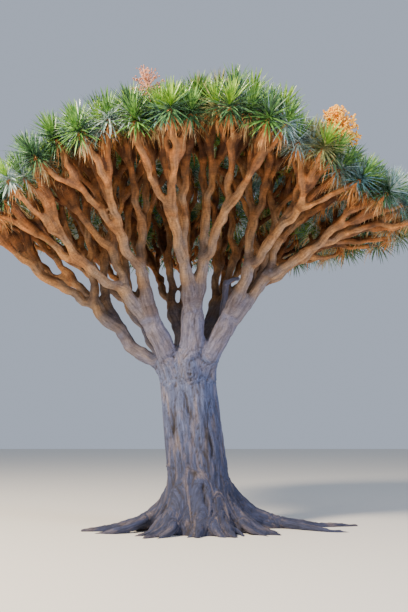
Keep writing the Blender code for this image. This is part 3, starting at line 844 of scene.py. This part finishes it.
def corky_bark():
    """Dragon tree bark, a dead corky skin. On the trunk it is ash grey and lilac with painted shade in it,
    dark navy at the foot and blue-grey higher up as in shade under the sky, and it lifts in long thin plates
    over tan cork; on the boughs it is tan and smoother; and it is orange-brown under the leaves, where it is
    newest. It scatters light and has no gloss."""
    bark, shader = new_material("corky_bark", 0.88, 1.45)
    grain, age, crease, air = [add_node(bark, "Attribute", {}, attribute_name=name)
                               for name in ("grain", "age", "crease", "air")]
    # Stretches of bark some 400 mm long look older or newer than the rest.
    wander = add_node(bark, "TexNoise", {"Vector": grain.outputs["Vector"], "Scale": 2.6, "Detail": 2.0})
    spread = add_node(bark, "MapRange", {"Value": wander.outputs["Fac"], "From Min": 0.3, "From Max": 0.7,
                                         "To Min": 0.72, "To Max": 1.20}, clamp=False)
    weathered_and_shaded = add_node(bark, "Math", {0: age.outputs["Fac"], 1: spread.outputs["Result"]},
                         operation="MULTIPLY")
    # Painted shade: on the trunk and roots the tones run from dark navy at the foot to blue-grey at the top,
    # the blue of shade under the sky.
    grown = add_node(bark, "ValToRGB", {"Fac": weathered_and_shaded.outputs["Value"]}, ramp=(
        (0.00, "#24283d"), (0.10, "#343b56"), (0.22, "#4e5775"), (0.34, "#646274"), (0.46, "#746867"),
        (0.60, "#96775a"), (0.84, "#bc824b"), (1.00, "#ee9e58"),
    ))
    # Patterns along the grain: how many in a metre across and along it, detail, roughness and tones.
    patterns = {
        # Fibres about 30 mm wide and 250 mm long.
        "fibres": ((33.0, 33.0, 4.0), 6.0, 0.62,
                   ((0.32, (0.32, 0.30, 0.30)), (0.48, (0.84, 0.83, 0.83)), (0.68, (1.42, 1.39, 1.35)))),
        # Tan cork shows in strips about 90 mm wide and 400 mm long.
        "cork": ((11.0, 11.0, 2.5), 5.0, 0.5, ((0.50, (0.0, 0.0, 0.0)), (0.76, (0.45, 0.45, 0.45)))),
        # Bands of old leaf scars, about 18 mm apart and 60 mm long, on the younger limbs.
        "scars": ((17.0, 17.0, 55.0), 3.0, 0.5, ((0.34, (0.55, 0.52, 0.50)), (0.62, (1.16, 1.14, 1.12)))),
        # Painted highlights: thin flakes about 25 mm wide and 180 mm long are painted paler, as where their
        # curled edges catch the light.
        "flake_highlights": ((42.0, 42.0, 5.5), 3.0, 0.5, ((0.54, (1.0, 1.0, 1.0)), (0.68, (1.48, 1.46, 1.44)))),
    }
    noises, tones = {}, {}
    for name, (scale, detail, roughness, ramp) in patterns.items():
        drawn = add_node(bark, "VectorMath", {0: grain.outputs["Vector"], 1: scale}, operation="MULTIPLY")
        made = add_node(bark, "TexNoise", {"Vector": drawn.outputs[0], "Scale": 1.0, "Detail": detail,
                                           "Roughness": roughness})
        noises[name] = made.outputs["Fac"]
        tones[name] = add_node(bark, "ValToRGB", {"Fac": noises[name]}, ramp=ramp).outputs["Color"]
    # Plates about 45 mm wide and 160 mm long, with cracks between.
    stretched = add_node(bark, "VectorMath", {0: grain.outputs["Vector"], 1: (22.0, 22.0, 6.0)},
                         operation="MULTIPLY")
    plates = add_node(bark, "TexVoronoi", {"Vector": stretched.outputs[0], "Scale": 1.0},
                      feature="DISTANCE_TO_EDGE")
    crack = add_node(bark, "ValToRGB", {"Fac": plates.outputs["Distance"]}, ramp=(
        (0.00, (0.62, 0.60, 0.60)), (0.07, (1.0, 1.0, 1.0)),
    ))
    # Painted shade and painted light: bark that other limbs close in, deep inside the crown, is painted dark,
    # and the outer limbs that stand open are painted lighter and greyer.
    painted_crown_shade = add_node(bark, "ValToRGB", {"Fac": air.outputs["Fac"]}, ramp=(
        (0.20, (0.17, 0.13, 0.11)), (0.50, (0.66, 0.61, 0.60)), (0.70, (1.00, 1.06, 1.14)),
        (0.95, (1.12, 1.12, 1.12)),
    ))
    newer = add_node(bark, "MapRange", {"Value": age.outputs["Fac"], "From Min": 0.30, "From Max": 0.70,
                                        "To Min": 0.10, "To Max": 0.58})
    older = add_node(bark, "MapRange", {"Value": age.outputs["Fac"], "From Min": 0.15, "From Max": 0.55,
                                        "To Min": 0.85, "To Max": 0.15})
    # Each layer goes over those before it: how strong it is, its colour, and how it mixes.
    colour = grown.outputs["Color"]
    for strength, layer, mix in (
        (0.75, tones["fibres"], "MULTIPLY"),
        (tones["cork"], hex_colour("#86756a"), "MIX"),
        (newer.outputs["Result"], tones["scars"], "MULTIPLY"),
        # Painted shade inside the crown, and painted light on the open outer limbs.
        (1.0, painted_crown_shade.outputs["Color"], "MULTIPLY"),
        # Partly painted shade: where the bark lies deep in its furrows, cracks and the knot's rings it is
        # darkened towards #2c2626, partly the dark of the furrows themselves.
        (crease.outputs["Fac"], hex_colour("#2c2626"), "MIX"),
        (older.outputs["Result"], crack.outputs["Color"], "MULTIPLY"),
        # Painted highlights on the curled flakes of the older bark.
        (older.outputs["Result"], tones["flake_highlights"], "MULTIPLY"),
    ):
        colour = add_node(bark, "MixRGB", {"Fac": strength, "Color1": colour, "Color2": layer},
                          blend_type=mix).outputs["Color"]
    bark.node_tree.links.new(colour, shader.inputs["Base Color"])
    rise = add_node(bark, "Math", {0: noises["fibres"], 1: plates.outputs["Distance"]}, operation="ADD")
    bump = add_node(bark, "Bump", {"Height": rise.outputs["Value"], "Strength": 0.55, "Distance": 0.012})
    bark.node_tree.links.new(bump.outputs["Normal"], shader.inputs["Normal"])
    return bark


def waxy_leaf(name, light, deep, roughness):
    """A living sword leaf: tough and leathery, with a thin wax bloom that gives long pale highlights."""
    leaf, shader = new_material(name, roughness, 1.45)
    place = add_node(leaf, "TexCoord", {})
    # Leaves differ from one to the next, about 70 mm apart.
    differ = add_node(leaf, "TexNoise", {"Vector": place.outputs["Object"], "Scale": 14.0, "Detail": 2.0})
    tint = add_node(leaf, "ValToRGB", {"Fac": differ.outputs["Fac"]}, ramp=((0.35, deep), (0.65, light)))
    leaf.node_tree.links.new(tint.outputs["Color"], shader.inputs["Base Color"])
    return leaf


def dry_leaf(name, light, deep):
    """A dead sword leaf that still hangs: dry, papery and dull."""
    return waxy_leaf(name, light, deep, 0.8)


def piece_from(name, points, faces, material, smooth=True):
    """A mesh piece from arrays of points and of faces that all have as many corners."""
    mesh = bpy.data.meshes.new(name)
    mesh.vertices.add(len(points))
    mesh.vertices.foreach_set("co", np.asarray(points, np.float32).ravel())
    mesh.loops.add(faces.size)
    mesh.loops.foreach_set("vertex_index", faces.astype(np.int32).ravel())
    mesh.polygons.add(len(faces))
    mesh.polygons.foreach_set("loop_start", np.arange(0, faces.size, faces.shape[1], dtype=np.int32))
    mesh.update(calc_edges=True)
    mesh.materials.append(material)
    if smooth:
        mesh.shade_smooth()
    return add_object(name, mesh)


def blades(base, way, upper, length, width, droop):
    """Sword blades, one for each row: their points and triangles. Each is creased along its middle, and
    bends down over its length."""
    count = len(base)
    across = np.cross(way, upper)
    across /= np.linalg.norm(across, axis=1)[:, None]
    upper = np.cross(across, way)
    fall = -UP[None, :] - (way @ -UP)[:, None] * way
    points = np.empty((count, 10, 3))
    for k, (share, wide) in enumerate(zip(BLADE_SHARES, BLADE_WIDTHS)):
        middle = base + (length * share)[:, None] * way + (length * droop * share**2)[:, None] * fall
        edge = (width * wide / 2)[:, None] * across
        lift = (width * wide * BLADE_CREASE)[:, None] * upper
        if wide:
            points[:, 3 * k] = middle - edge + lift
            points[:, 3 * k + 1] = middle
            points[:, 3 * k + 2] = middle + edge + lift
        else:
            points[:, 9] = middle
    pattern = []
    for k in (0, 3):
        for j in (0, 1):
            a, b, c, d = k + j, k + j + 1, k + j + 4, k + j + 3
            pattern += [(a, b, c), (a, c, d)]
    pattern += [(6, 7, 9), (7, 8, 9)]
    faces = np.array(pattern)[None] + 10 * np.arange(count)[:, None, None]
    return points.reshape(-1, 3), faces.reshape(-1, 3)


def rim_share(point):
    """How near the crown's rim a point is: 0 in the middle, 1 at the rim."""
    return min(1.0, float(np.linalg.norm((point[:2] - CROWN_MIDDLE) / CROWN_REACH)))


def leaf_ways(axis, spin, polar):
    """For leaves turned so far round the axis and away from it: the way out from it, and the leaf's way."""
    side, other = sides_of(axis)
    level = np.cos(spin)[:, None] * side + np.sin(spin)[:, None] * other
    return level, np.cos(polar)[:, None] * axis + np.sin(polar)[:, None] * level


def sword_leaves(spray):
    """The living leaves of one rosette, the young ones and the grown ones apart: short and upright in its
    heart, long and spreading round it. At the crown's rim they reach below the rosette too."""
    rng = spray["rng"]
    axis, tip = spray["axis"], spray["tip"]
    outermost = rim_share(tip) ** 3
    widest = LEAF_SPREAD[0] + LEAF_SPREAD[1] * outermost
    order = np.arange(LEAVES)
    outer = (order + 0.5) / LEAVES
    spin = order * GOLDEN_ANGLE + rng.uniform(0, 6.28) + rng.normal(0, 0.08, LEAVES)
    polar = np.radians(6 + widest * outer**0.80 + rng.normal(0, 5, LEAVES))
    level, way = leaf_ways(axis, spin, polar)
    upper = np.cos(polar + math.pi / 2)[:, None] * -axis + np.sin(polar + math.pi / 2)[:, None] * -level
    base = tip + (0.09 - 0.15 * outer)[:, None] * axis + 0.014 * level
    length = LEAF_LENGTH * (1 - 0.12 * outermost) * (0.72 + 0.34 * np.sin(math.pi * (0.15 + 0.75 * outer)))
    length = length * rng.uniform(0.86, 1.08, LEAVES)
    width = LEAF_WIDTH * rng.uniform(0.85, 1.15, LEAVES)
    droop = LEAF_DROOP[0] + LEAF_DROOP[1] * outer * rng.uniform(0.3, 1.4, LEAVES)
    young = outer < YOUNG_SHARE
    return [blades(base[part], way[part], upper[part], length[part], width[part], droop[part])
            for part in (young, ~young)]


def hanging_leaves(spray):
    """Dead leaves that hang round the twig under the rosette, most of them at the crown's rim."""
    rng = spray["rng"]
    axis, tip = spray["axis"], spray["tip"]
    few, many = DEAD_LEAVES
    count = int(few + (many - few) * rim_share(tip) ** 3)
    spin = rng.uniform(0, 2 * math.pi, count)
    polar = np.radians(rng.uniform(105, 168, count))
    level, way = leaf_ways(axis, spin, polar)
    base = tip - rng.uniform(0.05, 0.20, count)[:, None] * axis + 0.02 * level
    length = rng.uniform(*DEAD_LENGTH, count)
    width = rng.uniform(*DEAD_WIDTH, count)
    droop = rng.uniform(*DEAD_DROOP, count)
    return blades(base, way, level + 0.1 * axis, length, width, droop)


def join_blades(parts):
    """Many blades as one set of points and triangles."""
    points, faces, count = [], [], 0
    for part_points, part_faces in parts:
        points.append(part_points)
        faces.append(part_faces + count)
        count += len(part_points)
    return np.concatenate(points), np.concatenate(faces)


def unit_sum(chances):
    return np.array(chances) / sum(chances)


def rods_between(starts, ends, radii):
    """Three-sided rods from each start to its end."""
    points, faces = [], []
    for start, end, radius in zip(starts, ends, radii):
        side, other = sides_of(unit(end - start))
        first = len(points)
        for middle, thick in ((start, radius), (end, 0.7 * radius)):
            for turn in (0.0, 2.094, 4.189):
                points.append(middle + thick * (math.cos(turn) * side + math.sin(turn) * other))
        for k in range(3):
            a, b = first + k, first + (k + 1) % 3
            faces += [(a, b, b + 3), (a, b + 3, a + 3)]
        faces.append((first + 3, first + 4, first + 5))
    return np.array(points), np.array(faces)


def round_berries(middles, radii):
    """Small round berries, twenty faces each."""
    bm = bmesh.new()
    bmesh.ops.create_icosphere(bm, subdivisions=1, radius=1.0)
    ball = np.array([vertex.co for vertex in bm.verts])
    pattern = np.array([[vertex.index for vertex in face.verts] for face in bm.faces])
    bm.free()
    points = (middles[:, None] + radii[:, None, None] * ball).reshape(-1, 3)
    faces = (pattern[None] + len(ball) * np.arange(len(middles))[:, None, None]).reshape(-1, 3)
    return points, faces


def panicle(tip, rise, reach, branches, berries, largest, lean, rng):
    """A fruiting panicle over a rosette: a leaning stalk, branches round it, twiglets on them, and
    berries."""
    stalk = UP + np.array(lean) / rise
    starts, ends, thick, fruit = [tip], [tip + rise * stalk], [STALK_RADIUS], []
    for k in range(branches):
        spin, up = k * GOLDEN_ANGLE, (k + 0.5) / branches
        foot = tip + (rise - 0.50 * reach + 0.60 * reach * up) * stalk
        polar = math.radians(100 - 88 * up + rng.uniform(-8, 8))
        way = math.cos(polar) * UP + math.sin(polar) * np.array((math.cos(spin), math.sin(spin), 0.0))
        end = foot + reach * rng.uniform(0.80, 1.0) * way
        starts.append(foot)
        ends.append(end)
        thick.append(BRANCH_RADIUS)
        for j in range(berries):
            base = foot + (0.35 + 0.65 * (j + rng.uniform(0, 1)) / berries) * (end - foot)
            out = unit(way + rng.normal(0, 0.7, 3))
            twiglet = base + rng.uniform(0.02, 0.05) * out
            starts.append(base)
            ends.append(twiglet)
            thick.append(TWIGLET_RADIUS)
            fruit.append(twiglet)
    sizes = rng.uniform(0.7, 1.0, len(fruit)) * largest
    return rods_between(starts, ends, thick), round_berries(np.array(fruit), sizes)


def leaf_piece(name, shape, material, nodes):
    """A joined piece of leaves, stalks or berries, in the masses that it replaces."""
    piece = piece_from(name, *shape, material)
    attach(piece, "root")
    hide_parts(*nodes)


hearts = sown(ROSETTES, np.random.default_rng(SEED))
fine = fine_points(hearts)
limbs, sprays = [], []
for number, bough in enumerate(main_boughs(hearts)):
    first = len(limbs)
    limbs.append(bough)
    grow(bough, hearts, fine, bough, limbs, sprays)
    for limb in limbs[first:]:
        limb.owner = number + 1

grain = Grain()
loft = trunk_loft(grain)
curve = limb_tubes(limbs, grain)
root_tubes(curve, grain)
dead_limb_tubes(curve, grain)
grain.settle()

points, faces, edges = remeshed(curve, loft)
# How closed in by other limbs the bark is at each point, for the shade painted into it deep inside the crown.
grain.look_round(points, faces)
thick = grain.follow(points)[2]
weights = [np.clip((thick - SOFTENING_STEP * k + 0.03) / 0.02, 0, 1) for k in range(SOFTENINGS)]
points = soften(points, edges, weights)
grain_at, age, thick, air, owner = grain.follow(points)
relief, crease = bark_relief(points, grain_at, thick)
points = points + relief[:, None] * vertex_normals(points, faces)
points[:, 2] = np.maximum(points[:, 2], 0)
normals = vertex_normals(points, faces)
owner = np.where(points[:, 2] < TRUNK_HEIGHT, 0, owner)

bark = corky_bark()
owner = whole_pieces(owner[faces[:, 0]], faces, len(points))
node_names = sorted(frame["nodes"])
for number, name in enumerate(["trunk"] + [bough[0] for bough in BOUGHS]):
    own = faces[owner == number]
    used, local = np.unique(own, return_inverse=True)
    piece = piece_from(f"bark_{name}", points[used], local.reshape(-1, 4), bark)
    values = (("grain", "FLOAT_VECTOR", "vector", grain_at), ("age", "FLOAT", "value", age),
              ("crease", "FLOAT", "value", crease), ("air", "FLOAT", "value", air))
    for label, kind, field, data in values:
        attribute = piece.data.attributes.new(label, kind, "POINT")
        attribute.data.foreach_set(field, np.asarray(data[used], np.float32).ravel())
    piece.data.normals_split_custom_set_from_vertices(normals[used])
    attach(piece, "root")
    if name == "trunk":
        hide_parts("trunk")
    else:
        own_nodes = [node for node in node_names if node.split("_")[1:2] == [name]]
        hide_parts(*own_nodes)

# Leaf colours, dealt out by spray: name, light, deep and roughness.
LEAF_COLOURS = (
    ("leaf_deep_green", "#628a58", "#264634", 0.24),
    ("leaf_blue_green", "#86b0ae", "#305a5c", 0.20),
    ("leaf_mid_green", "#86b458", "#33622f", 0.26),
    # Partly painted highlight: this pale grey-green is the leaves' own grey bloom and also stands for painted
    # blue-white reflections on them.
    ("leaf_grey_green", "#d6e6e2", "#688e8c", 0.18),
    ("leaf_olive_green", "#bcb878", "#6a7044", 0.32),
    ("leaf_bright_green", "#aed254", "#588a2c", 0.28),
)
DEAD_COLOURS = (
    ("dry_leaf_rust", "#eeae6a", "#b87036"),
    ("dry_leaf_tan", "#e4c898", "#b48b5c"),
    ("dry_leaf_brown", "#a3703f", "#6b4526"),
)

deal = np.random.default_rng([SEED, 7])
piles = {row[0]: [] for row in LEAF_COLOURS}
dead = {row[0]: [] for row in DEAD_COLOURS}
for spray in sprays:
    # Painted light and shade: sprays to the left and near the crown's top, where the key lamp falls, are
    # dealt more bright and mid greens, and sprays to the right and at the rim more deep and blue greens.
    rim = rim_share(spray["tip"])
    shade_side = min(1.0, max(0.0, 0.5 + spray["tip"][0] / 6))
    sunlit = (1 - 0.75 * rim**4) * (1 - 0.60 * shade_side)
    grown = deal.choice(5, p=unit_sum((0.16 + 0.2 * rim**2, 0.12 + 0.3 * shade_side,
                                       0.08 + 0.38 * sunlit, 0.26, 0.08)))
    fresh = deal.choice((0, 2, 3, 4, 5), p=unit_sum((0.25 * shade_side, 0.40, 0.14, 0.10, 0.12 + 0.7 * sunlit)))
    young, spreading = sword_leaves(spray)
    piles[LEAF_COLOURS[fresh][0]].append(young)
    piles[LEAF_COLOURS[grown][0]].append(spreading)
    dry = deal.choice(3, p=unit_sum((0.25 + 0.25 * rim, 0.10 + 0.4 * rim**2, 0.65 - 0.6 * rim)))
    dead[DEAD_COLOURS[dry][0]].append(hanging_leaves(spray))

mass_nodes = [node for node in node_names if node.startswith("foliage")]
for name, light, deep, roughness in LEAF_COLOURS:
    leaf = waxy_leaf(name, light, deep, roughness)
    leaf_piece(f"rosettes_{name}", join_blades(piles[name]), leaf, mass_nodes)
for name, light, deep in DEAD_COLOURS:
    leaf_piece(name, join_blades(dead[name]), dry_leaf(name, light, deep), mass_nodes)

# The two fruiting panicles: a dry pinkish one, and a ripe golden one full of berries.
PANICLE_COLOURS = (
    ("dry", "#d69e80", "#b0785c", "#dc9c7c", "#b47258"),
    ("ripe", "#f4cc78", "#d29a3c", "#ffca48", "#f29c1c"),
)
for (x, y, *shape), (name, rod_light, rod_deep, berry_light, berry_deep) in zip(PANICLES, PANICLE_COLOURS):
    near = int(np.argmin(np.hypot(hearts[:, 0] - x, hearts[:, 1] - y)))
    bearer = min((spray for spray in sprays if spray["heart"] == near),
                 key=lambda spray: np.linalg.norm(spray["tip"] - hearts[near]))
    rods, berries = panicle(bearer["tip"], *shape, np.random.default_rng([SEED, 900 + near]))
    leaf_piece(f"panicle_{name}", rods, waxy_leaf(f"panicle_stalk_{name}", rod_light, rod_deep, 0.7),
               [bearer["mass"]])
    leaf_piece(f"berries_{name}", berries, waxy_leaf(f"berry_{name}", berry_light, berry_deep, 0.35),
               [bearer["mass"]])

# Studio: a plain pale floor, a pale surround and two soft lamps.
floor_mesh = bpy.data.meshes.new("floor")
floor_mesh.from_pydata([(-60, -60, 0), (60, -60, 0), (60, 60, 0), (-60, 60, 0)], [], [(0, 1, 2, 3)])
floor = add_object("floor", floor_mesh)
pale, pale_shader = new_material("pale_floor", 0.9, 1.45)
pale_shader.inputs["Base Color"].default_value = hex_colour("#d9d5cd")
floor_mesh.materials.append(pale)

world = bpy.data.worlds.new("studio")
bpy.context.scene.world = world
world.use_nodes = True
world.node_tree.nodes["Background"].inputs["Color"].default_value = hex_colour("#d2def2")
world.node_tree.nodes["Background"].inputs["Strength"].default_value = 0.66


def soft_lamp(name, place, goal, size, power, colour):
    lamp = bpy.data.lights.new(name, "AREA")
    lamp.shape = "DISK"
    lamp.size = size
    lamp.energy = power
    lamp.color = hex_colour(colour)[:3]
    made = add_object(name, lamp)
    made.location = place
    made.rotation_euler = (Vector(goal) - Vector(place)).to_track_quat("-Z", "Y").to_euler()


soft_lamp("key", (-12.0, -10.5, 14.0), (0, 0, 4), 4, 11800, "#ffedd2")
soft_lamp("fill", (13, -9, 6.0), (0, 0, 2.2), 6, 1900, "#d8e4ff")

camera = add_object("camera", bpy.data.cameras.new("camera"))
camera.location = CAMERA_PLACE
camera.rotation_euler = (math.radians(90 + CAMERA_RISE), 0.0, 0.0)
camera.data.lens = CAMERA_LENS
bpy.context.scene.camera = camera
